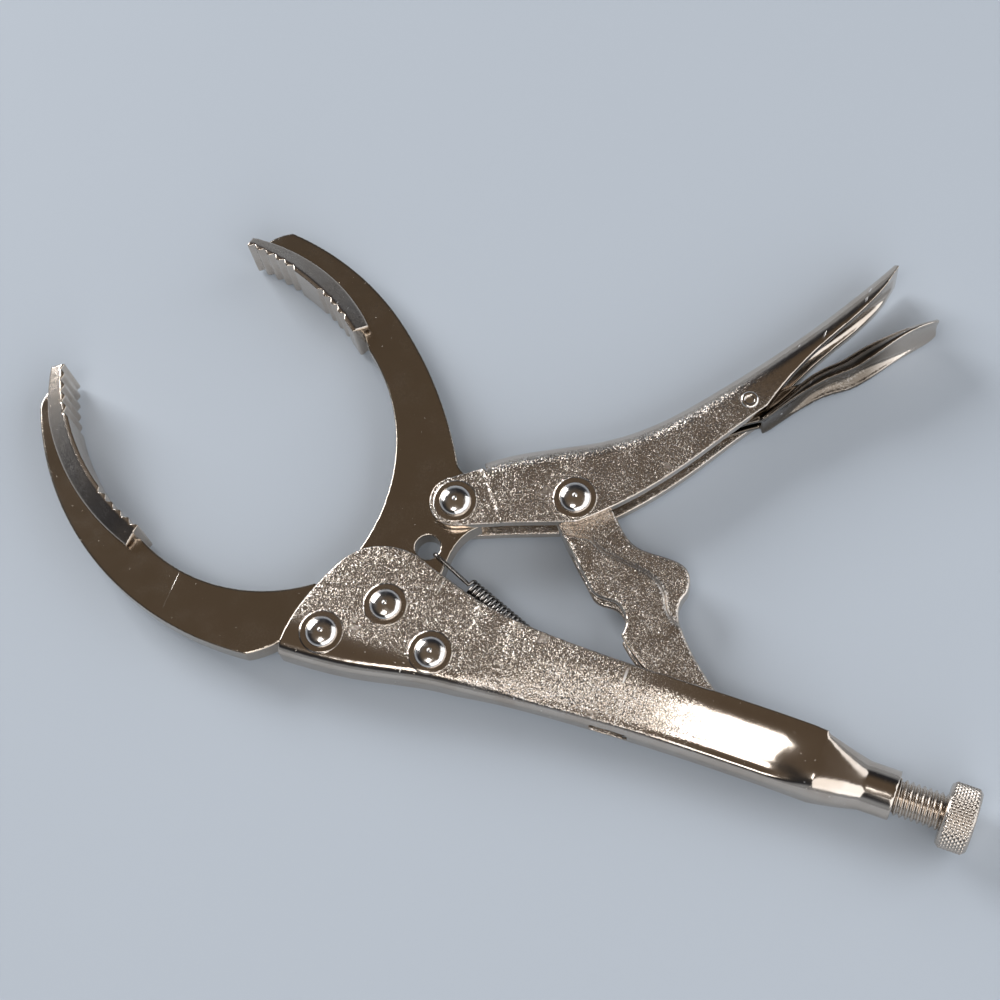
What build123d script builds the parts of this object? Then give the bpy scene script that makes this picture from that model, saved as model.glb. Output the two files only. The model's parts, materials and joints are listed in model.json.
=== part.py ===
from build123d import *
import math
import os

# Filter-grip locking pliers, millimetres and degrees, drawn open and unlocked.
# Design frame: origin on the jaw pivot, X along the adjusting screw, Z across the plates.

# ---- pivots and frame ----
JAW_PIVOT = (0.0, 0.0)
HANDLE_PIVOT = (5.6, 27.3)
LINK_PIVOT = (30.3, 36.6)
LEVER_PIVOT = (58.8, 70.8)
JAW_RIVETS = {"front": (-10.9, -10.3), "rear": (13.2, -6.7)}
GRIP_CENTRE = (-54.5, 33.0)

# ---- stock ----
SHEET = 2.3
CHEEK_IN = 2.8
CHEEK_OUT = CHEEK_IN + SHEET
GRIP_OUT = 7.0
GRIP_IN = GRIP_OUT - SHEET
FIXED_PLATE = 2.0 * CHEEK_IN
MOVING_PLATE = 5.0
RUN_GAP = 0.05

# ---- rivets ----
RIVET_R = 2.6
HEAD_R = 3.5
HEAD_H = 1.5
DIMPLE_R = 0.55
DIMPLE_D = 0.3
TUBE_R = 1.6
TUBE_BORE_R = 1.05
TUBE_RIM_R = 2.0
TUBE_RIM_H = 0.4

# ---- adjusting screw ----
SCREW_Y = -1.9
THREAD_R = 4.0
SCREW_TIP_X = 84.6
SCREW_END_X = 124.8
TAIL_START_X = 98.0
TUBE_START_X = 108.0
TAIL_END_X = 114.7
TAIL_R = 5.3
TAIL_INSET = 0.02
SPIGOT_R = 2.5
KNOB_R = 7.1
KNOB_LEN = 6.6
KNURL_COUNT = 36
KNURL_D = 0.35

# ---- jaw arcs: centre and radius ----
FIXED_OUTER = ((-32.5, 48.3), 68.8)
FIXED_THROAT = ((-40.5, 31.2), 38.9)
MOVING_OUTER_TIP = ((-63.0, 12.2), 66.2)
MOVING_OUTER_ARM = ((-82.1, -13.2), 97.9)
MOVING_THROAT = ((-54.0, 20.6), 44.2)
HEEL_R = 8.5
SEAT_R = HEEL_R + 0.5
EYE_R = 7.5
SPRING_HOLE = (3.2, 16.0)
SPRING_HOLE_R = 2.8

# ---- pads: face arc, ridge arc, end angles and tooth zones ----
PAD_BASE = 2.3
PAD_HALF = 6.5
PAD_WING = 5.1
WING_TOP = 4.5
TOOTH_PITCH = 2.7
TOOTH_DEPTH = 0.95
FIXED_PAD = {
    "seat": CHEEK_IN,
    "centre": (-44.5, 46.8),
    "radius": 50.4,
    "ridge": ((-50.4, 38.5), 46.0),
    "tip": 201.0,
    "heel": 253.6,
    "zones": ((202.4, 5), (239.3, 5)),
}
MOVING_PAD = {
    "seat": MOVING_PLATE / 2,
    "centre": (-68.6, 10.0),
    "radius": 60.2,
    "ridge": ((-58.5, 31.6), 41.4),
    "tip": 85.1,
    "heel": 51.7,
    "zones": ((83.6, 5), (64.2, 4)),
}

# ---- spring ----
WIRE_R = 0.45
COIL_R = 1.65
COIL_PITCH = 1.1
COIL_FRONT = (14.8, 11.1)
COIL_REAR = (55.6, -4.6)
SLOT_X = (50.1, 58.4)
SLOT_W = 5.2

# ---- link and lever ----
LINK_HALF = 4.0
LINK_SHEET = 1.6
TONGUE_HALF = 2.5
LINK_EYE_R = 6.2
FOOT = (78.2, -1.5)
FOOT_R = 3.0
LEVER_SHEET = 1.2

TO_FRAME = Pos(-GRIP_CENTRE[0], -GRIP_CENTRE[1], 0)


def at(circle, angle):
    """The point of a circle at an angle from +X."""
    (x, y), radius = circle
    return (x + radius * math.cos(math.radians(angle)), y + radius * math.sin(math.radians(angle)))


def angle_to(circle, point):
    """The angle from +X at which a circle's centre sees a point."""
    (x, y), _ = circle
    return math.degrees(math.atan2(point[1] - y, point[0] - x))


def bow(circle, start, end):
    """The arc of a circle between two points on it, the short way round."""
    first = angle_to(circle, start)
    turn = (angle_to(circle, end) - first + 180) % 360 - 180
    return ThreePointArc(start, at(circle, first + turn / 2), end)


def arc(circle, first, last):
    """The arc of a circle between two angles."""
    return ThreePointArc(at(circle, first), at(circle, (first + last) / 2), at(circle, last))


def region(*edges):
    """A flat face bounded by edges given in order."""
    return Face(Wire([e.edge() if isinstance(e, BaseLineObject) else e for e in edges]))


def both(face, half):
    """A face drawn at mid-plane, extruded to both sides."""
    return extrude(face, amount=half, both=True)


def pin_hole(point, radius, half=20.0):
    return Pos(point[0], point[1], 0) * Cylinder(radius, 2 * half)


# ---- fixed handle ----
BACK_FRONT = ((-24.0, -17.7), (-14.0, -17.4), (-2.0, -16.2), (12.0, -13.4), (20.0, -12.4))
BACK_REAR = ((30.0, -11.2), (45.0, -10.0), (70.0, -9.0), (TAIL_START_X, -8.9))


def trough(half, corner, deep):
    """Cross-section of a channel's outside or inside: local X across, local Y away from its back."""
    with BuildSketch() as section:
        with BuildLine():
            Polyline((half, deep), (half, corner))
            CenterArc((half - corner, corner), corner, -90, 90)
            Line((half - corner, 0), (corner - half, 0))
            CenterArc((corner - half, corner), corner, 180, 90)
            Polyline((-half, corner), (-half, deep), (half, deep))
        make_face()
    return section.sketch.face()


def on_path(path, where, section, lift=0.0):
    """A section set square to a path, its local Y on the left of travel, lifted off the path."""
    tangent = path % where
    point = path @ where
    plane = Plane(origin=point, x_dir=(0, 0, -1), z_dir=tangent)
    return plane * Pos(0, lift, 0) * section


def channel_run(path, half, corner, deep, lift=0.0):
    return sweep(on_path(path, 0, trough(half, corner, deep), lift), path=path)


def fixed_channel(front_half, front_corner, rear_half, rear_corner, lift):
    front = Spline(*BACK_FRONT)
    rear = Spline(*BACK_REAR)
    deep = 36.0
    ramp = loft(
        [
            on_path(front, 1, trough(front_half, front_corner, deep), lift),
            on_path(rear, 0, trough(rear_half, rear_corner, deep), lift),
        ]
    )
    front_run = channel_run(front, front_half, front_corner, deep, lift)
    rear_run = channel_run(rear, rear_half, rear_corner, deep, lift)
    return front_run + ramp + rear_run


def fixed_side():
    """Side view of the fixed handle's cheeks, open below its back."""
    below = -30.0
    return region(
        Line((-18.5, below), (-18.5, -18.6)),
        Spline((-18.5, -18.6), (-18.6, -10.3), (-15.7, 0.4), (-10.1, 9.9), (-2.6, 13.0), (4.6, 11.9)),
        Spline((4.6, 11.9), (11.3, 9.8), (22.0, 7.0), (34.0, 5.5), (60.0, 4.9), (TAIL_START_X + 1.5, 5.0)),
        Line((TAIL_START_X + 1.5, 5.0), (TAIL_START_X + 1.5, below)),
        Line((TAIL_START_X + 1.5, below), (-18.5, below)),
    )


def ring_section(x, centre_y, width, height, low_corner, top_corner):
    plane = Plane(origin=(x, centre_y, 0), x_dir=(0, 0, -1), z_dir=(1, 0, 0))
    corners = Rectangle(width, height)
    corners = fillet(corners.vertices().sort_by(Axis.Y)[:2], low_corner)
    corners = fillet(corners.vertices().sort_by(Axis.Y)[-2:], top_corner)
    return plane * corners


def tail_outside():
    neck = loft(
        [
            ring_section(TAIL_START_X, -2.0, 2 * (GRIP_OUT - TAIL_INSET), 13.8 - 2 * TAIL_INSET, 5.2, 1.4),
            ring_section(TAIL_START_X + 4.5, -2.1, 12.7, 12.6, 5.9, 3.6),
            ring_section(TUBE_START_X, SCREW_Y, 2 * TAIL_R, 2 * TAIL_R, TAIL_R - 0.1, TAIL_R - 0.15),
        ]
    )
    length = TAIL_END_X - TUBE_START_X
    tube = Pos(TUBE_START_X + length / 2, SCREW_Y, 0) * Rot(0, 90, 0) * Cylinder(TAIL_R, length)
    return neck + tube


def make_fixed_handle():
    outside = fixed_channel(CHEEK_OUT, 2.8, GRIP_OUT, 5.2, 0.0)
    inside = fixed_channel(CHEEK_IN, 0.5, GRIP_IN, 2.5, SHEET)
    body = (outside - inside) & both(fixed_side(), 20)
    cavity = loft(
        [
            ring_section(TAIL_START_X - 1, 0.0, 2 * (GRIP_IN - TAIL_INSET), 2 * 6.6, 2.5, 1.0),
            ring_section(TAIL_START_X + 7, SCREW_Y, 2 * THREAD_R, 2 * THREAD_R, THREAD_R - 0.1, THREAD_R - 0.15),
        ]
    )
    keep = Pos(TAIL_START_X + 20, 0, 0) * Box(40, 40, 40)
    tail = (tail_outside() - cavity) & keep
    bore = Pos(TAIL_END_X, SCREW_Y, 0) * Rot(0, 90, 0) * Cylinder(THREAD_R + RUN_GAP, 40)
    seam = Pos(TAIL_END_X, SCREW_Y + 5, 0) * Box(2 * (TAIL_END_X - TAIL_START_X - 2), 10, 0.5)
    body = body + tail - bore - seam
    slot_mid = (SLOT_X[0] + SLOT_X[1]) / 2
    slot_len = SLOT_X[1] - SLOT_X[0]
    slot = Pos(slot_mid, -9, 0) * Rot(90, 0, 0) * extrude(RectangleRounded(slot_len, SLOT_W, 1.2), 4, both=True)
    body = body - slot
    for point in (JAW_PIVOT, *JAW_RIVETS.values()):
        body = body - pin_hole(point, RIVET_R)
    return body


# ---- jaws ----
def make_fixed_jaw():
    pad = (FIXED_PAD["centre"], FIXED_PAD["radius"] + PAD_BASE)
    tip_in = at(pad, 205.0)
    tip_out = at(FIXED_OUTER, angle_to(FIXED_OUTER, (-94.0, 17.8)))
    step = at(FIXED_OUTER, angle_to(FIXED_OUTER, (-25.4, -20.1)))
    heel = at(pad, FIXED_PAD["heel"])
    throat_start = at(FIXED_THROAT, angle_to(FIXED_THROAT, (-58.4, -3.3)))
    throat_end = at(FIXED_THROAT, angle_to(FIXED_THROAT, (-17.3, 0.2)))
    seat = (JAW_PIVOT, SEAT_R)
    seat_start = at(seat, 196)
    seat_end = at(seat, 346)
    face = region(
        ThreePointArc(tip_in, (-94.2, 21.6), tip_out),
        bow(FIXED_OUTER, tip_out, step),
        Spline(step, (-22.7, -18.3), (-19.4, -15.1)),
        Spline((-19.4, -15.1), (-14.0, -14.3), (-2.0, -13.1), (12.0, -10.3), (18.4, -9.2)),
        ThreePointArc((18.4, -9.2), (20.6, -5.6), (18.0, -1.9)),
        Line((18.0, -1.9), seat_end),
        ThreePointArc(seat_end, at(seat, 271), seat_start),
        Line(seat_start, throat_end),
        bow(FIXED_THROAT, throat_end, throat_start),
        Line(throat_start, heel),
        arc(pad, FIXED_PAD["heel"], 205.0),
    )
    body = both(face, FIXED_PLATE / 2)
    for point in JAW_RIVETS.values():
        body = body - pin_hole(point, RIVET_R)
    return body


def make_moving_jaw():
    pad = (MOVING_PAD["centre"], MOVING_PAD["radius"] + PAD_BASE)
    tip_in = at(pad, 83.5)
    tip_out = at(MOVING_OUTER_TIP, angle_to(MOVING_OUTER_TIP, (-55.8, 78.0)))
    blend = at(MOVING_OUTER_TIP, angle_to(MOVING_OUTER_TIP, (-23.2, 65.1)))
    arm_end = at(MOVING_OUTER_ARM, angle_to(MOVING_OUTER_ARM, (2.2, 36.6)))
    heel = at(pad, MOVING_PAD["heel"])
    throat_start = at(MOVING_THROAT, angle_to(MOVING_THROAT, (-27.4, 55.9)))
    throat_end = at(MOVING_THROAT, angle_to(MOVING_THROAT, (-10.9, 10.7)))
    eye = (HANDLE_PIVOT, EYE_R)
    heel_circle = (JAW_PIVOT, HEEL_R)
    notch_end = at(eye, 84)
    face = region(
        ThreePointArc(tip_in, (-59.6, 75.2), tip_out),
        bow(MOVING_OUTER_TIP, tip_out, blend),
        bow(MOVING_OUTER_ARM, blend, arm_end),
        ThreePointArc(arm_end, (4.0, 35.1), notch_end),
        arc(eye, 84, -25),
        Spline(at(eye, -25), (9.2, 19.6), (8.4, 14.0), at(heel_circle, 20)),
        ThreePointArc(at(heel_circle, 20), at(heel_circle, -85), at(heel_circle, 170)),
        Line(at(heel_circle, 170), throat_end),
        bow(MOVING_THROAT, throat_end, throat_start),
        Line(throat_start, heel),
        arc(pad, MOVING_PAD["heel"], 83.5),
    )
    body = both(face, MOVING_PLATE / 2)
    for point in (JAW_PIVOT, HANDLE_PIVOT):
        body = body - pin_hole(point, RIVET_R + RUN_GAP)
    return body - pin_hole(SPRING_HOLE, SPRING_HOLE_R)


# ---- pads ----
def make_pad(pad):
    """A saddle swept round its arc, trimmed to its ridge and cut across with teeth."""
    centre, face_r = pad["centre"], pad["radius"]
    sweep_angle = pad["heel"] - pad["tip"]
    back_r = face_r + PAD_WING
    base_r = face_r + PAD_BASE
    seat = pad["seat"]
    profile = Polygon(
        (face_r, -PAD_HALF),
        (face_r, PAD_HALF),
        (face_r + 1.0, PAD_HALF),
        (back_r, WING_TOP),
        (back_r, seat),
        (base_r, seat),
        (base_r, -seat),
        (back_r, -seat),
        (back_r, -WING_TOP),
        (face_r + 1.0, -PAD_HALF),
        align=None,
    )
    axis = Axis((centre[0], centre[1], 0), (0, 0, 1))
    upright = Pos(centre[0], centre[1], 0) * Rot(0, 0, pad["tip"]) * Rot(90, 0, 0) * profile
    body = revolve(upright, axis=axis, revolution_arc=sweep_angle)
    ridge_centre, ridge_r = pad["ridge"]
    body = body & (Pos(ridge_centre[0], ridge_centre[1], 0) * Cylinder(ridge_r, 30))
    step = math.copysign(math.degrees(TOOTH_PITCH / face_r), sweep_angle)
    notch = Polygon((-0.1, -TOOTH_PITCH * 0.42), (-0.1, TOOTH_PITCH * 0.42), (TOOTH_DEPTH, 0), align=None)
    for first, count in pad["zones"]:
        for number in range(count):
            turn = first + number * step
            place = Pos(centre[0], centre[1], 0) * Rot(0, 0, turn) * Pos(face_r, 0, 0)
            body = body - place * extrude(notch, 20, both=True)
    pocket_r = (base_r + back_r) / 2 + 1.0
    pocket = Pos(centre[0], centre[1], 0) * Rot(0, 0, pad["heel"]) * Pos(pocket_r, 0, 0)
    body = body - pocket * Box(back_r - base_r + 1.0, 3.0, 2 * (seat + 0.9))
    return body


# ---- moving handle ----
SPINE = (
    (7.6, 38.8),
    (22.2, 47.7),
    (30.2, 52.0),
    (37.7, 57.4),
    (51.3, 72.6),
    (64.3, 90.2),
    (79.6, 115.2),
)
CREASE = ((8.9, 37.0), (16.1, 25.4))
FLARE_START = 0.58
FLARE_MIDDLE = 5.7
FLARE_END = 6.7


def handle_side():
    """Side view of the moving handle behind its crease, open beyond its spine."""
    return region(
        Line(CREASE[1], (32.4, 31.4)),
        Spline((32.4, 31.4), (40.0, 38.6), (49.6, 50.5), (58.4, 64.2), (62.9, 70.8)),
        Spline((62.9, 70.8), (65.0, 77.6), (69.8, 88.6), (75.4, 98.8), (79.0, 107.4)),
        Line((79.0, 107.4), (80.0, 112.4)),
        Line((80.0, 112.4), (60.0, 130.0)),
        Line((60.0, 130.0), (-10.0, 67.5)),
        Line((-10.0, 67.5), CREASE[1]),
    )


def lobe_side():
    """Side view of the flat eyes in front of the crease."""
    eye = (HANDLE_PIVOT, 5.8)
    return region(
        arc(eye, 120, 290),
        Line(at(eye, 290), (18.0, 26.1)),
        Line((18.0, 26.1), (12.6, 34.8)),
        Line((12.6, 34.8), (8.6, 36.6)),
        Line((8.6, 36.6), at(eye, 120)),
    )


def handle_skin(thinner, corner):
    """The moving handle's channel as a solid, straight-sided in front and flared at its tail."""
    spine = Spline(*SPINE)
    front = spine.trim(0, FLARE_START)
    turned = Rot(0, 0, 180)
    deep = 34 + thinner

    def station(where, half):
        return on_path(spine, where, turned * trough(half - thinner, corner, deep), -thinner)

    run = sweep(station(0, CHEEK_OUT), path=front)
    middle = (FLARE_START + 1) / 2
    flare = loft([station(FLARE_START, CHEEK_OUT), station(middle, FLARE_MIDDLE), station(1, FLARE_END)])
    return run + flare


def make_moving_handle():
    body = handle_skin(0.0, 4.9) - handle_skin(SHEET, 2.6)
    body = body & both(handle_side(), 20)
    lobes = both(lobe_side(), CHEEK_OUT) - both(lobe_side(), CHEEK_IN)
    body = body + lobes
    for point in (HANDLE_PIVOT, LINK_PIVOT):
        body = body - pin_hole(point, RIVET_R)
    return body - pin_hole(LEVER_PIVOT, TUBE_R)


# ---- toggle link ----
def link_lower_edges():
    """Edges of the link from its bump round the foot and back to its notch."""
    foot = (FOOT, FOOT_R)
    return (
        Spline((60.3, 24.9), (59.7, 21.0), (63.0, 15.2), (73.8, 5.5), at(foot, 55)),
        arc(foot, 55, -110),
        Spline(at(foot, -110), (69.5, -0.9), (62.5, 2.4), (55.5, 6.5), (50.0, 10.9)),
        Spline((50.0, 10.9), (49.9, 14.2), (46.7, 17.3), (43.0, 17.3), (40.4, 18.4)),
    )


def link_side():
    """Side view of the whole link."""
    eye = (LINK_PIVOT, LINK_EYE_R)
    return region(
        arc(eye, 230, 62),
        Spline(at(eye, 62), (40.0, 36.2), (45.9, 31.4), (51.8, 31.0), (57.2, 30.6), (60.3, 24.9)),
        *link_lower_edges(),
        Line((40.4, 18.4), at(eye, 230)),
    )


def link_thick_side(margin=0.0):
    """Side view of the link's thick body, below the line where it leaves the moving handle."""
    return region(
        Line((29.4 + margin, 28.0 - margin), (36.6, 29.3 - margin)),
        Spline((36.6, 29.3 - margin), (45.0, 26.8 - margin), (52.4, 25.4 - margin), (56.4 - margin, 21.6)),
        Spline((56.4 - margin, 21.6), (58.2 - margin, 18.6), (63.0 - margin, 16.6)),
        Line((63.0 - margin, 16.6), (95.0 - margin, 10.0 - margin)),
        Line((95.0 - margin, 10.0 - margin), (70.0, -30.0)),
        Line((70.0, -30.0), (29.4 + margin, 28.0 - margin)),
    )


def make_toggle_link():
    outline = both(link_side(), LINK_HALF)
    thick = outline & both(link_thick_side(), LINK_HALF)
    body = both(link_side(), TONGUE_HALF) + thick
    gap = LINK_HALF - LINK_SHEET
    back = LINK_SHEET + 0.6
    hollow = both(link_side(), gap) & (Pos(-back * 0.62, -back * 0.78, 0) * both(link_thick_side(1.2), gap))
    hollow = hollow & (Pos(-back * 0.62, -back * 0.78, 0) * both(link_side(), gap))
    mouth = Pos(-6, -5, 0) * hollow
    foot_block = Pos(FOOT[0], FOOT[1], 0) * Rot(0, 0, -39) * Pos(8, 0, 0) * Box(28, 30, 30)
    body = body - ((hollow + mouth) - foot_block)
    return body - pin_hole(LINK_PIVOT, RIVET_R + RUN_GAP)


# ---- release lever ----
LEVER_EDGE = (
    (63.0, 67.6),
    (65.3, 70.6),
    (68.2, 74.8),
    (71.0, 78.4),
    (74.2, 81.7),
    (77.6, 84.4),
    (80.9, 88.2),
    (84.0, 92.6),
    (86.6, 96.2),
    (89.4, 99.4),
    (92.4, 102.8),
)
LEVER_HALF = (4.4, 4.8, 5.0, 5.1, 5.4, 6.0, 6.5, 6.7, 6.7, 6.3, 4.0)
LEVER_OVERRUN = 0.3
LEVER_RISE = (1.6, 2.0, 2.6, 3.6, 4.2, 4.6, 4.8, 4.1, 3.1, 2.2, 1.6)


def arch(half, rise):
    """Half of an ellipse standing on its flat side."""
    with BuildSketch() as section:
        with BuildLine():
            EllipticalCenterArc((0, 0), half, rise, start_angle=0, arc_size=180)
            Line((-half, 0), (half, 0))
        make_face()
    return section.sketch.face()


def lever_stations(thinner):
    edge = Spline(*LEVER_EDGE)
    sections = []
    last = len(LEVER_EDGE) - 1
    for number, point in enumerate(LEVER_EDGE):
        half = LEVER_HALF[number] - thinner
        rise = max(LEVER_RISE[number] - thinner, 0.25)
        where = edge.param_at_point(point)
        tangent = edge % where
        plane = Plane(origin=point, x_dir=(0, 0, -1), z_dir=tangent)
        lift = -0.05 if thinner else 0.0
        past = LEVER_OVERRUN if thinner and number == last else 0.0
        sections.append(plane * Pos(0, lift, past) * arch(half, rise))
    return sections


def lever_ear_side():
    """Side view of the lever's ears and nose, inside the moving handle's channel."""
    eye = (LEVER_PIVOT, 3.1)
    tip = ((50.3, 60.5), 1.3)
    return region(
        arc(tip, 120, 290),
        Spline(at(tip, 290), (55.4, 62.6), (59.8, 66.2), (63.0, 68.2)),
        Spline((63.0, 68.2), (66.6, 73.2), (70.4, 78.2)),
        Line((70.4, 78.2), (68.8, 80.2)),
        Spline((68.8, 80.2), (64.6, 76.6), at(eye, 70)),
        arc(eye, 70, 140),
        Line(at(eye, 140), at(tip, 120)),
    )


def make_release_lever():
    shell = loft(lever_stations(0.0)) - loft(lever_stations(LEVER_SHEET))
    ears = both(lever_ear_side(), TONGUE_HALF) - both(lever_ear_side(), TONGUE_HALF - LEVER_SHEET)
    nose = both(lever_ear_side(), TONGUE_HALF) & (Pos(47.5, 60, 0) * Box(10, 20, 20))
    trough_space = loft(lever_stations(LEVER_SHEET))
    body = shell + ((ears + nose) - trough_space)
    return body - pin_hole(LEVER_PIVOT, TUBE_R + RUN_GAP)


# ---- rivets ----
def make_rivet(point, pin_r=RIVET_R):
    """A domed rivet set at both ends, on the cheeks' outer faces."""
    dome_r = (HEAD_R**2 + HEAD_H**2) / (2 * HEAD_H)
    top = CHEEK_OUT + HEAD_H
    lip = 0.35
    profile = Face(
        Wire(
            [
                Edge.make_line((0, 0, 0), (pin_r, 0, 0)),
                Edge.make_line((pin_r, 0, 0), (pin_r, 0, CHEEK_OUT)),
                Edge.make_line((pin_r, 0, CHEEK_OUT), (HEAD_R, 0, CHEEK_OUT)),
                Edge.make_line((HEAD_R, 0, CHEEK_OUT), (HEAD_R, 0, CHEEK_OUT + lip)),
                Edge.make_three_point_arc(
                    (HEAD_R, 0, CHEEK_OUT + lip),
                    (HEAD_R * 0.62, 0, top - dome_r + math.sqrt(dome_r**2 - (HEAD_R * 0.62) ** 2) + 0.1),
                    (DIMPLE_R, 0, top),
                ),
                Edge.make_line((DIMPLE_R, 0, top), (0, 0, top - DIMPLE_D)),
                Edge.make_line((0, 0, top - DIMPLE_D), (0, 0, 0)),
            ]
        )
    )
    upper = revolve(profile, axis=Axis.Z)
    body = upper + mirror(upper, about=Plane.XY)
    return Pos(point[0], point[1], 0) * body


def make_tube_rivet():
    body = Cylinder(TUBE_R, 2 * CHEEK_OUT)
    for side in (-1, 1):
        body = body + Pos(0, 0, side * (CHEEK_OUT + TUBE_RIM_H / 2)) * Cylinder(TUBE_RIM_R, TUBE_RIM_H)
        body = body - Pos(0, 0, side * (CHEEK_OUT + TUBE_RIM_H)) * Cylinder(TUBE_BORE_R, 5.0)
    return Pos(LEVER_PIVOT[0], LEVER_PIVOT[1], 0) * body


# ---- adjusting screw ----
def along_screw(start, shape, length):
    return Pos(start + length / 2, SCREW_Y, 0) * Rot(0, 90, 0) * shape


def make_screw_shank():
    length = SCREW_END_X - SCREW_TIP_X
    rod = along_screw(SCREW_TIP_X, Cylinder(THREAD_R, length), length)
    rod = chamfer(rod.edges().group_by(Axis.X)[0], 0.8)
    spigot = along_screw(SCREW_END_X, Cylinder(SPIGOT_R, KNOB_LEN - 0.6), KNOB_LEN - 0.6)
    return rod + spigot


def make_screw_knob():
    start = SCREW_END_X + 0.1
    rim = along_screw(start, Cylinder(KNOB_R, KNOB_LEN), KNOB_LEN)
    rim = chamfer(rim.edges(), 0.9)
    for number in range(KNURL_COUNT):
        turn = 360 / KNURL_COUNT * number
        groove = Pos(start, SCREW_Y, 0) * Rot(turn, 0, 0) * Pos(KNOB_LEN / 2, KNOB_R + 0.15, 0)
        rim = rim - groove * Rot(45, 0, 0) * Box(KNOB_LEN + 2, 2 * KNURL_D, 2 * KNURL_D)
    socket = along_screw(SCREW_END_X - 1, Cylinder(SPIGOT_R + RUN_GAP, KNOB_LEN + 0.5), KNOB_LEN + 0.5)
    return rim - socket


# ---- tension spring ----
HOOK_Z = MOVING_PLATE / 2 + WIRE_R + 0.15
HOOK_POINTS = (
    (11.9, 12.2, 1.8),
    (9.6, 13.2, HOOK_Z),
    (5.2, 15.1, HOOK_Z),
    (5.2, 15.1, -HOOK_Z),
    (7.8, 13.9, -HOOK_Z),
)
REAR_HOOK_POINTS = ((56.8, -5.2, 0.3), (57.7, -6.4, 0.0), (57.8, -9.0, 0.0))


def wire_along(points):
    path = Polyline(*points)
    section = Plane(origin=path @ 0, z_dir=path % 0) * Circle(WIRE_R)
    return sweep(section, path=path, transition=Transition.ROUND)


def make_tension_spring():
    """Close-wound coil between the moving jaw's hole and the slot in the fixed handle's back."""
    run_x = COIL_REAR[0] - COIL_FRONT[0]
    run_y = COIL_REAR[1] - COIL_FRONT[1]
    lean = math.degrees(math.atan2(run_y, run_x))
    turns = math.floor(math.hypot(run_x, run_y) / COIL_PITCH)
    place = Pos(COIL_FRONT[0], COIL_FRONT[1], 0) * Rot(0, 0, lean)
    helix = place * Helix(COIL_PITCH, turns * COIL_PITCH, COIL_R, direction=(1, 0, 0))
    section = Plane(origin=helix @ 0, z_dir=helix % 0) * Circle(WIRE_R)
    coil = sweep(section, path=helix, is_frenet=True)
    front = wire_along((tuple(helix @ 0.004), *HOOK_POINTS))
    rear = wire_along((tuple(helix @ 0.996), *REAR_HOOK_POINTS))
    return coil + front + rear


# ---- write every node ----
def all_nodes():
    return {
        "fixed_handle": make_fixed_handle(),
        "fixed_jaw": make_fixed_jaw(),
        "fixed_jaw_pad": make_pad(FIXED_PAD),
        "fixed_jaw_rivet_front": make_rivet(JAW_RIVETS["front"]),
        "fixed_jaw_rivet_rear": make_rivet(JAW_RIVETS["rear"]),
        "jaw_pivot_rivet": make_rivet(JAW_PIVOT),
        "moving_jaw": make_moving_jaw(),
        "moving_jaw_pad": make_pad(MOVING_PAD),
        "moving_handle": make_moving_handle(),
        "handle_pivot_rivet": make_rivet(HANDLE_PIVOT),
        "link_pivot_rivet": make_rivet(LINK_PIVOT),
        "lever_pivot_rivet": make_tube_rivet(),
        "toggle_link": make_toggle_link(),
        "release_lever": make_release_lever(),
        "screw_shank": make_screw_shank(),
        "screw_knob": make_screw_knob(),
        "tension_spring": make_tension_spring(),
    }


def main():
    os.makedirs("parts", exist_ok=True)
    for name, body in all_nodes().items():
        export_step(TO_FRAME * body, f"parts/{name}.step")


main()
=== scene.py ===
import json
import math

import bpy
from mathutils import Matrix, Vector


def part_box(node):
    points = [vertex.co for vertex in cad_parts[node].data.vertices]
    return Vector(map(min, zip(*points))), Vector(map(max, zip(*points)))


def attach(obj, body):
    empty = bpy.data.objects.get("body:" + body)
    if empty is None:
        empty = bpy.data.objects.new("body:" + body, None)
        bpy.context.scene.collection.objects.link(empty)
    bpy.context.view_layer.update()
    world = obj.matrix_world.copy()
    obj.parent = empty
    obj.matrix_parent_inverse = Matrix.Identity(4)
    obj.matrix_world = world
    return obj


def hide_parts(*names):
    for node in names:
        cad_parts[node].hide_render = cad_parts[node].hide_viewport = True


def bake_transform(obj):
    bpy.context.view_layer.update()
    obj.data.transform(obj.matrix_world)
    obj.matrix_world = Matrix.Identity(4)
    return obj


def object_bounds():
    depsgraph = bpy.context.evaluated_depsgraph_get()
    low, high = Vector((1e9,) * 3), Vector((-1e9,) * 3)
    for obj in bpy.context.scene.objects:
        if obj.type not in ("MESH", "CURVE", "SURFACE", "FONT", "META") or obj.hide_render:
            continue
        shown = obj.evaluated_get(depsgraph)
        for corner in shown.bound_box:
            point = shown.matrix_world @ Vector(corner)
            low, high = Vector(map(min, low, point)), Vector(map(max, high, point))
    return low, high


# Locking pliers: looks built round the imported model, in metres, in the model's own frame.
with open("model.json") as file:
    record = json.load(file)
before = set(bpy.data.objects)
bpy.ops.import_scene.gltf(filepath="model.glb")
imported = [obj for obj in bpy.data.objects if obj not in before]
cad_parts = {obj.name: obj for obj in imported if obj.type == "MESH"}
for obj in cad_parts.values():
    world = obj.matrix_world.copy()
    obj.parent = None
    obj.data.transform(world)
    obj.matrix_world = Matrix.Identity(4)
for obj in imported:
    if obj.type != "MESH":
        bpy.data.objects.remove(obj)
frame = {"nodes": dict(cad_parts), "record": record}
CAD_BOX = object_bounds()
NODES = frame["nodes"]
MM = 0.001


def middle(node):
    low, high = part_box(node)
    return (low + high) / 2


def span_of(node):
    low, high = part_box(node)
    return high - low


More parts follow.
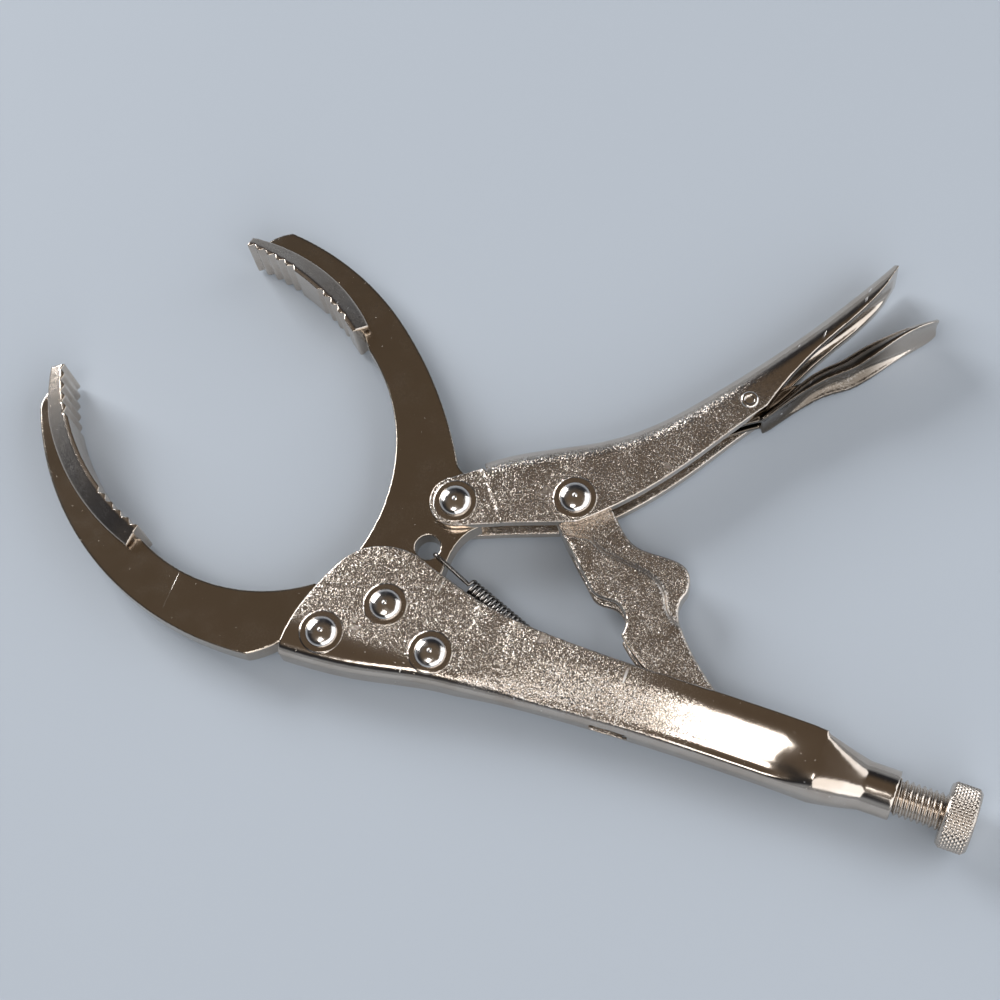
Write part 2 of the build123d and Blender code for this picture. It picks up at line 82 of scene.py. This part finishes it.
# ---- named places, from the model ----
RIVETS = (
    "fixed_jaw_rivet_front",
    "fixed_jaw_rivet_rear",
    "jaw_pivot_rivet",
    "handle_pivot_rivet",
    "link_pivot_rivet",
)
JAW_PIVOT = middle("jaw_pivot_rivet")
HANDLE_PIVOT = middle("handle_pivot_rivet")
LINK_PIVOT = middle("link_pivot_rivet")
HEAD_R = span_of("jaw_pivot_rivet").x / 2


# ---- measures shared by shapes and finishes, read off the model's own sections ----
CHEEK_Z = 5.1 * MM
SWELL = 1.9 * MM
GRIT_ENDS_X = (0.134, 0.106)
BACK_SMOOTH_Y = (-0.0455, -0.041)
SCOOP_SMOOTH_Y = (0.052, 0.034)
# where the lever's painted shade gives way to a painted reflection at its spoon end
SPOON_PAINTED_SHEEN_X = (0.134, 0.141)
GRIT = 0.22 * MM
GRIT_TILT = 0.42


# ---- mesh helpers ----
def new_piece(name, points, faces, material, smooth_angle=40.0):
    mesh = bpy.data.meshes.new(name)
    mesh.from_pydata([tuple(p) for p in points], [], faces)
    mesh.materials.append(material)
    mesh.polygons.foreach_set("use_smooth", [True] * len(mesh.polygons))
    mesh.set_sharp_from_angle(angle=math.radians(smooth_angle))
    mesh.update()
    piece = bpy.data.objects.new(name, mesh)
    bpy.context.scene.collection.objects.link(piece)
    return piece


def rings_to_mesh(rings):
    """Points and faces of a closed skin through rings of equal count, ends capped."""
    count = len(rings[0])
    points = [p for ring in rings for p in ring]
    faces = []
    for row in range(len(rings) - 1):
        for i in range(count):
            j = (i + 1) % count
            a, b = row * count, (row + 1) * count
            faces.append((a + i, a + j, b + j, b + i))
    faces.append(tuple(range(count))[::-1])
    last = (len(rings) - 1) * count
    faces.append(tuple(last + i for i in range(count)))
    return points, faces


def turned(name, profile, base, axis, material, sides=64, smooth_angle=40.0):
    """A turned piece: profile is (along, radius) pairs about an axis through base."""
    turn = Vector((0, 0, 1)).rotation_difference(Vector(axis)).to_matrix()
    rings = []
    for along, radius in profile:
        ring = []
        for i in range(sides):
            t = math.tau * i / sides
            ring.append(base + turn @ Vector((radius * math.cos(t), radius * math.sin(t), along)))
        rings.append(ring)
    return new_piece(name, *rings_to_mesh(rings), material, smooth_angle)


def eased(points, parts=6):
    """A smooth line through points."""
    path = []
    for i in range(len(points) - 1):
        a, b, c, d = points[max(i - 1, 0)], points[i], points[i + 1], points[min(i + 2, len(points) - 1)]
        for k in range(parts):
            t = k / parts
            square = (2 * a - 5 * b + 4 * c - d) * t**2
            cube = (3 * b - a - 3 * c + d) * t**3
            path.append(0.5 * (2 * b + (c - a) * t + square + cube))
    return path + [points[-1]]


def wire(name, path, radius, material, sides=8):
    """A round wire through the points of path."""
    rings = []
    side = None
    for i, point in enumerate(path):
        ahead = path[min(i + 1, len(path) - 1)] - path[max(i - 1, 0)]
        ahead.normalize()
        if side is None:
            side = ahead.orthogonal()
        side = (side - ahead * side.dot(ahead)).normalized()
        up = ahead.cross(side)
        ring = []
        for k in range(sides):
            t = math.tau * k / sides
            ring.append(point + (side * math.cos(t) + up * math.sin(t)) * radius)
        rings.append(ring)
    return new_piece(name, *rings_to_mesh(rings), material, 80.0)


# ---- shader helper ----
class Skin:
    """A metal or floor material and its node tree."""

    def __init__(self, name):
        self.material = bpy.data.materials.new(name)
        self.material.use_nodes = True
        self.tree = self.material.node_tree
        self.shader = self.tree.nodes["Principled BSDF"]
        self.place = self.add("ShaderNodeTexCoord").outputs["Object"]

    def add(self, kind, feeds=None, **settings):
        node = self.tree.nodes.new(kind)
        for key, value in settings.items():
            setattr(node, key, value)
        for key, value in (feeds or {}).items():
            self.feed(node.inputs[key], value)
        return node

    def feed(self, socket, value):
        if isinstance(value, bpy.types.NodeSocket):
            self.tree.links.new(value, socket)
        else:
            socket.default_value = value

    def set(self, key, value):
        self.feed(self.shader.inputs[key], value)

    def calc(self, kind, a, b=0.0, clamp=False):
        node = self.add("ShaderNodeMath", {0: a, 1: b}, operation=kind, use_clamp=clamp)
        return node.outputs[0]

    def ramp(self, value, low, high):
        """0 below low, 1 above high, smooth between; low may be above high."""
        feeds = {"Value": value, "From Min": low, "From Max": high}
        node = self.add("ShaderNodeMapRange", feeds, interpolation_type="SMOOTHSTEP")
        return node.outputs["Result"]

    def stretched(self, stretch, turn=0.0):
        feeds = {"Vector": self.place, "Scale": stretch, "Rotation": (0.0, 0.0, turn)}
        return self.add("ShaderNodeMapping", feeds).outputs[0]

    def noise(self, size, detail=2.0, rough=0.5, place=None):
        """Soft noise from 0 to 1 whose features are about size metres."""
        feeds = {"Vector": place or self.place, "Scale": 1.0 / size, "Detail": detail, "Roughness": rough}
        return self.add("ShaderNodeTexNoise", feeds).outputs["Fac"]

    def cells(self, size, feature="F1"):
        feeds = {"Vector": self.place, "Scale": 1.0 / size}
        return self.add("ShaderNodeTexVoronoi", feeds, feature=feature)

    def part(self, axis):
        return self.add("ShaderNodeSeparateXYZ", {"Vector": self.place}).outputs[axis]

    def away(self, point):
        """Distance in the plane of the plates from point."""
        flat = self.add("ShaderNodeVectorMath", {0: self.place, 1: (1.0, 1.0, 0.0)}, operation="MULTIPLY")
        to = self.add(
            "ShaderNodeVectorMath",
            {0: flat.outputs[0], 1: (point[0], point[1], 0.0)},
            operation="DISTANCE",
        )
        return to.outputs["Value"]

    def tint(self, first, second, factor):
        node = self.add("ShaderNodeMix", data_type="RGBA")
        self.feed(node.inputs["Factor"], factor)
        self.feed(node.inputs[6], first)
        self.feed(node.inputs[7], second)
        return node.outputs[2]

    def lerp(self, first, second, factor):
        node = self.add("ShaderNodeMix", {"Factor": factor, 2: first, 3: second}, data_type="FLOAT")
        return node.outputs[0]

    def bump(self, height, depth, normal=None):
        feeds = {"Height": height, "Distance": depth, "Strength": 1.0}
        if normal is not None:
            feeds["Normal"] = normal
        return self.add("ShaderNodeBump", feeds).outputs["Normal"]


# ---- tones ----
NICKEL = (0.62, 0.55, 0.48, 1.0)
NICKEL_BROWN = (0.45, 0.36, 0.28, 1.0)
NICKEL_BRIGHT = (0.84, 0.80, 0.76, 1.0)
DARK_STEEL = (0.24, 0.23, 0.22, 1.0)
# painted shade: the dark tone along the lever's channel
LEVER_PAINTED_SHADE = (0.15, 0.125, 0.10, 1.0)
FORGED = (0.52, 0.46, 0.39, 1.0)


# ---- finishes ----
def scratches(skin, turn, size):
    """Few thin long marks, 1 on a mark."""
    line = skin.noise(size, 2.0, 0.6, skin.stretched((1.0, 0.05, 1.0), turn))
    patch = skin.ramp(skin.noise(11 * MM, 1.0), 0.52, 0.62)
    return skin.calc("MULTIPLY", skin.ramp(line, 0.70, 0.735), patch)


def glitter(skin, size, tilt, normal):
    """Tilts the normal at random in each small cell, as blasted metal does."""
    cell = skin.cells(size).outputs["Color"]
    aside = skin.add("ShaderNodeVectorMath", {0: cell, 1: (0.5, 0.5, 0.5)}, operation="SUBTRACT")
    scaled = skin.add("ShaderNodeVectorMath", {0: aside.outputs[0], "Scale": tilt}, operation="SCALE")
    tilted = skin.add("ShaderNodeVectorMath", {0: normal, 1: scaled.outputs[0]}, operation="ADD")
    even = skin.add("ShaderNodeVectorMath", {0: tilted.outputs[0]}, operation="NORMALIZE")
    return even.outputs[0]


def coined_rings(skin, coined):
    """1 on the flattened discs round the rivets in coined, 0 elsewhere."""
    rings = None
    for point, radius in coined:
        ring = skin.ramp(skin.away(point), radius * 1.42, radius * 1.30)
        rings = ring if rings is None else skin.calc("MAXIMUM", rings, ring)
    return rings


def plated(name, grain, coined=(), smooth_rough=0.14, grain_rough=0.24, tone=NICKEL, brown=0.45):
    """Nickel plate on steel.

    grain is a function of the skin giving 0 smooth to 1 blasted; tone is a colour or such a function.
    """
    skin = Skin(name)
    rings = coined_rings(skin, coined)
    blast = grain(skin)
    if rings is not None:
        kept = skin.calc("SUBTRACT", 1.0, skin.calc("MULTIPLY", rings, 0.7))
        blast = skin.calc("MULTIPLY", blast, kept)
    patches = skin.noise(9 * MM, 3.0, 0.55)
    fine = skin.noise(0.34 * MM, 2.0, 0.6)
    specks = skin.ramp(skin.noise(0.9 * MM, 2.0, 0.7), 0.70, 0.76)
    marks = skin.calc("MAXIMUM", scratches(skin, 0.7, 1.3 * MM), scratches(skin, -1.1, 1.7 * MM))

    dull = skin.calc("MULTIPLY", skin.ramp(patches, 0.38, 0.72), brown)
    colour = skin.tint(tone(skin) if callable(tone) else tone, NICKEL_BROWN, dull)
    crests = skin.calc("MULTIPLY", skin.ramp(fine, 0.47, 0.66), blast)
    colour = skin.tint(colour, NICKEL_BRIGHT, skin.calc("MAXIMUM", crests, marks))
    skin.set("Base Color", colour)
    skin.set("Metallic", 1.0)

    rough = skin.lerp(smooth_rough, grain_rough, blast)
    rough = skin.calc("ADD", rough, skin.calc("MULTIPLY", skin.ramp(patches, 0.35, 0.7), 0.04))
    rough = skin.calc("ADD", rough, skin.calc("MULTIPLY", marks, 0.14))
    skin.set("Roughness", rough)

    normal = skin.bump(skin.noise(3.5 * MM, 2.0, 0.5), 0.035 * MM)
    normal = skin.bump(skin.calc("MULTIPLY", fine, blast), 0.08 * MM, normal)
    normal = skin.bump(skin.calc("MULTIPLY", specks, -0.5), 0.03 * MM, normal)
    normal = skin.bump(skin.calc("SUBTRACT", 1.0, marks), 0.02 * MM, normal)
    if rings is not None:
        normal = skin.bump(rings, 0.14 * MM, normal)
    skin.set("Normal", glitter(skin, GRIT, skin.calc("MULTIPLY", blast, GRIT_TILT), normal))
    return skin.material


def flat_faces(skin):
    """1 on faces square to the plates' axis, 0 on rounded backs and edges."""
    normal = skin.add("ShaderNodeTexCoord").outputs["Normal"]
    facing = skin.add("ShaderNodeSeparateXYZ", {"Vector": normal}).outputs["Z"]
    return skin.ramp(skin.calc("ABSOLUTE", facing), 0.80, 0.97)


def smooth_grain(skin):
    """A trace of grain in soft patches."""
    return skin.calc("MULTIPLY", skin.ramp(skin.noise(6 * MM, 2.0), 0.35, 0.75), 0.24)


def fixed_handle_grain(skin):
    """Blasted over the cheek, smoother towards the tail and round the back."""
    along = skin.ramp(skin.part("X"), *GRIT_ENDS_X)
    side = skin.ramp(skin.part("Y"), *BACK_SMOOTH_Y)
    wear = skin.ramp(skin.noise(7 * MM, 2.0), 0.25, 0.6)
    cover = skin.calc("MULTIPLY", skin.calc("MULTIPLY", along, side), skin.lerp(0.85, 1.0, wear))
    return skin.calc("MULTIPLY", cover, skin.lerp(0.25, 1.0, flat_faces(skin)))


def moving_handle_grain(skin):
    """Blasted over the flat sides, smooth at the scooped tail and over the back."""
    along = skin.ramp(skin.part("Y"), *SCOOP_SMOOTH_Y)
    wear = skin.ramp(skin.noise(7 * MM, 2.0), 0.3, 0.65)
    cover = skin.calc("MULTIPLY", along, skin.lerp(0.82, 1.0, wear))
    return skin.calc("MULTIPLY", cover, skin.lerp(0.08, 1.0, flat_faces(skin)))


def link_grain(skin):
    """Blasted on the flat faces only."""
    cover = skin.lerp(0.8, 1.0, skin.ramp(skin.noise(5 * MM, 2.0), 0.3, 0.6))
    return skin.calc("MULTIPLY", cover, skin.lerp(0.1, 1.0, flat_faces(skin)))


def lever_painted_shade_and_sheen(skin):
    """Painted shade: dark along the channel, then a painted reflection brightening towards the spoon end.
    """
    return skin.tint(LEVER_PAINTED_SHADE, NICKEL, skin.ramp(skin.part("X"), *SPOON_PAINTED_SHEEN_X))


def polished(name, rough=0.12, tone=NICKEL_BRIGHT):
    """Smooth bright metal with a little wear."""
    skin = Skin(name)
    worn = skin.noise(1.6 * MM, 3.0, 0.6)
    dull = skin.calc("MULTIPLY", skin.ramp(worn, 0.45, 0.75), 0.5)
    skin.set("Base Color", skin.tint(tone, NICKEL, dull))
    skin.set("Metallic", 1.0)
    skin.set("Roughness", skin.lerp(rough, rough + 0.14, skin.ramp(worn, 0.4, 0.8)))
    skin.set("Normal", skin.bump(skin.noise(0.9 * MM, 2.0), 0.02 * MM))
    return skin.material


MATERIALS = {
    "fixed_handle": plated(
        "fixed_handle_nickel",
        fixed_handle_grain,
        [(middle(n), HEAD_R) for n in RIVETS[:3]],
    ),
    "moving_handle": plated(
        "moving_handle_nickel",
        moving_handle_grain,
        [(HANDLE_PIVOT, HEAD_R), (LINK_PIVOT, HEAD_R)],
    ),
    "toggle_link": plated("link_nickel", link_grain),
    # the lever's tone is painted shade along its channel and a painted reflection at its spoon end
    "release_lever": plated("lever_nickel", smooth_grain, tone=lever_painted_shade_and_sheen, brown=0.08),
    "fixed_jaw": plated("fixed_jaw_nickel", smooth_grain, tone=FORGED),
    "moving_jaw": plated("moving_jaw_nickel", smooth_grain, tone=FORGED),
    "fixed_jaw_pad": plated("fixed_pad_nickel", smooth_grain, smooth_rough=0.20),
    "moving_jaw_pad": plated("moving_pad_nickel", smooth_grain, smooth_rough=0.22),
}
BRIGHT = polished("bright_nickel")
WIRE_STEEL = polished("spring_wire", 0.22, DARK_STEEL)
THREAD_STEEL = polished("thread_nickel", 0.18, NICKEL)


# ---- what pressing did to two of the pieces ----
BACK_Y = -41.9 * MM
BACK_BOW = 1.09
BACK_STRAIGHT_X = 0.135
ROLL_DEPTH = 0.34
PRESS_LINE = (66.9 * MM, -1.5 * MM)
PRESS_ACROSS = (0.774, 0.633)
PRESS_STEP = 0.15 * MM


def step_between(value, low, high):
    """0 at low, 1 at high, smooth between."""
    t = min(1.0, max(0.0, (value - low) / (high - low)))
    return t * t * (3.0 - 2.0 * t)


def rolled_back(mesh):
    """Draws the fixed handle's sides in towards its back, and widens its grip over a longer run."""
    for vertex in mesh.vertices:
        x, y, z = vertex.co
        back = BACK_Y - BACK_BOW * max(0.0, BACK_STRAIGHT_X - x) ** 2
        near = 1.0 - step_between(y - back, 2.0 * MM, 12.0 * MM)
        along = step_between(x, 0.074, 0.098) * (1.0 - step_between(x, 0.142, 0.154))
        outside = 0.5 + 0.5 * step_between(abs(z), 4.6 * MM, 6.8 * MM)
        sudden = CHEEK_Z + SWELL * step_between(x, 0.073, 0.084)
        gradual = CHEEK_Z + SWELL * step_between(x, 0.071, 0.112)
        vertex.co.z = z * (1.0 - ROLL_DEPTH * near * along * outside) * gradual / sudden


def stepped_end(mesh):
    """Sets the moving handle's front end a little lower than the rest, up to its press line."""
    for vertex in mesh.vertices:
        x, y, z = vertex.co
        past = (x - PRESS_LINE[0]) * PRESS_ACROSS[0] + (y - PRESS_LINE[1]) * PRESS_ACROSS[1]
        low = 1.0 - step_between(past, -0.3 * MM, 0.3 * MM)
        if abs(z) > 3.5 * MM:
            vertex.co.z = z - math.copysign(PRESS_STEP * low, z)


# ---- pressed and forged pieces: the model's shapes with worn, rounded edges ----
def pressed(node, body, voxel, passes):
    """The model's shape as one even skin whose edges are rounded, as plating and wear leave them."""
    data = NODES[node].data.copy()
    data.name = node + "_plated"
    piece = bpy.data.objects.new(node + "_plated", data)
    bpy.context.scene.collection.objects.link(piece)
    skin = piece.modifiers.new("skin", "REMESH")
    skin.mode = "VOXEL"
    skin.voxel_size = voxel
    ease = piece.modifiers.new("ease", "SMOOTH")
    ease.factor = 0.5
    ease.iterations = passes
    bpy.context.view_layer.update()
    made = bpy.data.meshes.new_from_object(piece.evaluated_get(bpy.context.evaluated_depsgraph_get()))
    piece.modifiers.clear()
    made.materials.clear()
    made.materials.append(MATERIALS[node])
    made.polygons.foreach_set("use_smooth", [True] * len(made.polygons))
    made.polygons.foreach_set("material_index", [0] * len(made.polygons))
    if node in SHAPED:
        SHAPED[node](made)
    piece.data = made
    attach(piece, body)
    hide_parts(node)
    return piece


SHAPED = {"fixed_handle": rolled_back, "moving_handle": stepped_end}
BODY_OF = {n: body for body, nodes in frame["record"]["behaviour"]["bodies"].items() for n in nodes}
VOXEL = 0.24 * MM
EASING = {
    "fixed_handle": 9,
    "moving_handle": 5,
    "toggle_link": 36,
    "release_lever": 4,
    "fixed_jaw": 6,
    "moving_jaw": 6,
    "fixed_jaw_pad": 7,
    "moving_jaw_pad": 7,
}
for node, passes in EASING.items():
    pressed(node, BODY_OF[node], VOXEL, passes)


# ---- rivets ----
def dome(radius, rise, rim, steps=10):
    """Half the profile of a domed head: (height, radius) pairs from its rim to its dimple."""
    dimple = 0.16 * radius
    pairs = [(0.0, radius * 0.985), (rim * 0.5, radius)]
    for i in range(steps + 1):
        t = math.pi / 2 * i / steps
        pairs.append((rim + (rise - rim) * math.sin(t), max(radius * math.cos(t), dimple)))
    return pairs + [(rise - 0.035 * radius, dimple * 0.8), (rise - 0.07 * radius, dimple * 0.25)]


def make_rivet(node):
    """The two domed heads of a rivet and the stem between them."""
    low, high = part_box(node)
    at = (low + high) / 2
    radius = (high.x - low.x) / 2
    face = CHEEK_Z
    rise = high.z - face
    pairs = dome(radius, rise, 0.12 * rise)
    profile = [(-(face + along), r) for along, r in pairs[::-1]] + [(face + along, r) for along, r in pairs]
    at.z = 0.0
    piece = turned(node + "_head", profile, at, (0, 0, 1), BRIGHT, 72, 50.0)
    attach(piece, BODY_OF[node])
    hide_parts(node)


for node in RIVETS:
    make_rivet(node)


def make_tube_rivet():
    """The lever's small hollow rivet, its ends rolled over."""
    node = "lever_pivot_rivet"
    low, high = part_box(node)
    at = (low + high) / 2
    at.z = 0.0
    rim = (high.x - low.x) / 2
    top = high.z
    half = [
        (top - 0.9 * MM, 0.45 * rim),
        (top - 0.12 * MM, 0.52 * rim),
        (top, 0.66 * rim),
        (top - 0.02 * MM, 0.82 * rim),
        (top - 0.18 * MM, 0.96 * rim),
        (top - 0.40 * MM, rim),
        (top - 0.42 * MM, 0.8 * rim),
    ]
    profile = [(-z, r) for z, r in half] + [(z, r) for z, r in half[::-1]]
    piece = turned(node + "_rolled", profile, at, (0, 0, 1), BRIGHT, 48, 50.0)
    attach(piece, BODY_OF[node])
    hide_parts(node)


make_tube_rivet()


# ---- adjusting screw ----
PITCH = 1.25 * MM
THREAD_DEPTH = 0.62 * MM
TIP_LENGTH = 1.2 * MM
TIP_TAPER = 0.7 * MM


def make_thread():
    """The rod with a real thread, its crests at the model's radius."""
    low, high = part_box("screw_shank")
    axis = (low + high) / 2
    radius = (high.y - low.y) / 2
    sides, per_turn = 48, 10
    start, end = low.x, high.x
    count = int((end - start) / PITCH * per_turn)
    rings = []
    for row in range(count + 1):
        x = start + (end - start) * row / count
        ring = []
        for i in range(sides):
            turn = i / sides
            phase = (x / PITCH - turn) % 1.0
            tooth = min(1.0, max(0.0, 2.6 * abs(phase - 0.5) - 0.12))
            past_tip = min(1.0, (x - start) / TIP_LENGTH)
            r = radius - THREAD_DEPTH * tooth - TIP_TAPER * (1.0 - past_tip)
            t = math.tau * turn
            ring.append(Vector((x, axis.y + r * math.cos(t), axis.z + r * math.sin(t))))
        rings.append(ring)
    piece = new_piece("screw_thread", *rings_to_mesh(rings), THREAD_STEEL, 70.0)
    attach(piece, "screw_body")
    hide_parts("screw_shank")


def make_knob():
    """The knob with crossed knurling, chamfered rims and a dished end."""
    low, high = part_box("screw_knob")
    axis = (low + high) / 2
    radius = (high.y - low.y) / 2
    length = high.x - low.x
    sides, rows, starts = 432, 44, 36
    bevel = 1.0 * MM
    depth = 0.42 * MM
    rings = []
    for x, r in ((0.0, 0.0001), (0.0, 0.62 * radius), (0.1 * MM, 0.66 * radius)):
        rings.append([(low.x + x, r)] * sides)
    for row in range(rows + 1):
        x = 0.12 * MM + (length - 0.24 * MM) * row / rows
        ring = []
        for i in range(sides):
            turn = i / sides
            lean = x / (math.tau * radius)
            first = abs(((turn + lean) * starts) % 1.0 - 0.5) * 2.0
            second = abs(((turn - lean) * starts) % 1.0 - 0.5) * 2.0
            cut = max(0.0, max(first, second) - 0.35) / 0.65
            edge = min(x, length - x)
            limit = radius - max(0.0, bevel - edge) * 0.8
            ring.append((low.x + x, min(limit, radius - depth * cut)))
        rings.append(ring)
    for x, r in ((length - 0.1 * MM, 0.80 * radius), (length - 0.35 * MM, 0.66 * radius)):
        rings.append([(low.x + x, r)] * sides)
    rings.append([(high.x - 0.45 * MM, 0.0001)] * sides)
    solid = []
    for ring in rings:
        row = []
        for i, (x, r) in enumerate(ring):
            t = math.tau * i / sides
            row.append(Vector((x, axis.y + r * math.cos(t), axis.z + r * math.sin(t))))
        solid.append(row)
    piece = new_piece("knob_knurled", *rings_to_mesh(solid), THREAD_STEEL, 80.0)
    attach(piece, "knob_body")
    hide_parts("screw_knob")


make_thread()
make_knob()


# ---- tension spring: coil held by the fixed handle, front hook in the moving jaw ----
def from_jaw_pivot(x, y, z=0.0):
    """A place given in millimetres from the jaw pivot."""
    return Vector((JAW_PIVOT.x + x * MM, JAW_PIVOT.y + y * MM, z * MM))


def make_spring():
    """One wire: round the edge of the jaw's hole, along to the coil, and down to its rear anchor."""
    place = from_jaw_pivot
    front, rear = place(14.8, 11.1), place(55.6, -4.6)
    radius, coil, pitch = 0.45 * MM, 1.65 * MM, 1.1 * MM
    along = (rear - front).normalized()
    side = Vector((-along.y, along.x, 0.0))
    hook = [place(7.8, 13.9, -3.1), place(6.6, 14.4, -3.2), place(5.5, 14.9, -2.6), place(5.2, 15.1, -1.2)]
    hook += [place(5.2, 15.1, 1.2), place(5.5, 14.9, 2.6), place(6.6, 14.4, 3.2), place(9.5, 13.2, 2.7)]
    hook += [place(12.4, 12.05, 2.05)]
    turns = (rear - front).length / pitch
    steps = int(turns * 20)
    winding = []
    for i in range(steps + 1):
        t = math.tau * turns * i / steps
        centre = front.lerp(rear, i / steps)
        winding.append(centre + side * coil * math.sin(t) + Vector((0, 0, coil * math.cos(t))))
    tail = [place(56.8, -5.2, 0.6), place(57.7, -6.4, 0.0), place(57.8, -9.0, 0.0)]
    piece = wire("spring_coil", eased(hook) + winding + eased([winding[-1]] + tail)[1:], radius, WIRE_STEEL)
    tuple(place(5.2, 15.1))
    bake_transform(piece)
    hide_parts("tension_spring")


make_spring()


# ---- floor, lights, camera ----
FLOOR_HALF = 3.0


def make_floor():
    """A plain pale tabletop that the tool lies on."""
    skin = Skin("floor")
    cloud = skin.noise(0.25, 2.0)
    skin.set("Base Color", skin.tint((0.50, 0.55, 0.61, 1.0), (0.53, 0.58, 0.64, 1.0), cloud))
    skin.set("Roughness", skin.lerp(0.62, 0.72, skin.noise(0.02, 3.0)))
    skin.set("Specular IOR Level", 0.25)
    low = CAD_BOX[0].z
    half = FLOOR_HALF
    corners = [(-half, -half, low), (half, -half, low), (half, half, low), (-half, half, low)]
    floor = new_piece("floor", corners, [(0, 1, 2, 3)], skin.material)


AIM = (0.07, -0.01, 0.0)
SHOULDER = (0.12, -0.04, 0.0)
COOL = (0.97, 0.98, 1.0)
# name, place, target, size, power, colour
LIGHTS = (
    ("window", (0.02, -0.44, 1.05), SHOULDER, (0.24, 0.32), 1.5, (1.0, 0.99, 0.98)),
    ("left", (-1.25, 0.5, 0.75), AIM, (0.8, 0.8), 19.0, COOL),
    ("right", (1.25, 0.35, 0.85), AIM, (2.0, 1.3), 13.0, (0.95, 0.97, 1.0)),
    ("front", (1.0, -1.05, 1.0), AIM, (1.4, 1.4), 11.0, COOL),
)
# the room by height above the horizon: pale walls, a dark band under the ceiling, a brown ceiling
ROOM = (
    (0.30, (0.32, 0.35, 0.39, 1.0)),
    (0.50, (0.02, 0.022, 0.03, 1.0)),
    (0.74, (0.03, 0.028, 0.027, 1.0)),
    (0.90, (0.125, 0.095, 0.067, 1.0)),
)


def area_light(name, place, target, size, power, colour):
    data = bpy.data.lights.new(name, "AREA")
    data.shape = "RECTANGLE"
    data.size, data.size_y = size
    data.energy = power
    data.color = colour
    lamp = bpy.data.objects.new(name, data)
    lamp.location = place
    lamp.rotation_mode = "QUATERNION"
    lamp.rotation_quaternion = (Vector(target) - Vector(place)).to_track_quat("-Z", "Y")
    bpy.context.scene.collection.objects.link(lamp)


def make_lights():
    for light in LIGHTS:
        area_light(*light)
    world = bpy.data.worlds.new("room")
    bpy.context.scene.world = world
    world.use_nodes = True
    tree = world.node_tree
    back = tree.nodes["Background"]
    coordinate = tree.nodes.new("ShaderNodeTexCoord")
    split = tree.nodes.new("ShaderNodeSeparateXYZ")
    ramp = tree.nodes.new("ShaderNodeValToRGB")
    bands = ramp.color_ramp.elements
    while len(bands) < len(ROOM):
        bands.new(0.5)
    for band, (height, colour) in zip(bands, ROOM):
        band.position = height
        band.color = colour
    tree.links.new(coordinate.outputs["Generated"], split.inputs[0])
    tree.links.new(split.outputs["Z"], ramp.inputs[0])
    tree.links.new(ramp.outputs[0], back.inputs["Color"])
    back.inputs["Strength"].default_value = 1.0


CAMERA_AT = (0.16044, -0.13231, 0.41392)


def make_camera():
    data = bpy.data.cameras.new("camera")
    data.sensor_width = 36.0
    data.lens = 72.0
    data.clip_start = 0.01
    camera = bpy.data.objects.new("camera", data)
    right = Vector((0.92925, 0.35750, -0.09323))
    up = Vector((-0.30565, 0.88564, 0.34959))
    ahead = Vector((-0.20754, 0.29637, -0.93225))
    turn = Matrix((right, up, -ahead)).transposed().to_4x4()
    camera.matrix_world = Matrix.Translation(CAMERA_AT) @ turn
    bpy.context.scene.collection.objects.link(camera)
    bpy.context.scene.camera = camera


make_floor()
make_lights()
make_camera()
bpy.context.scene.view_settings.view_transform = "Standard"
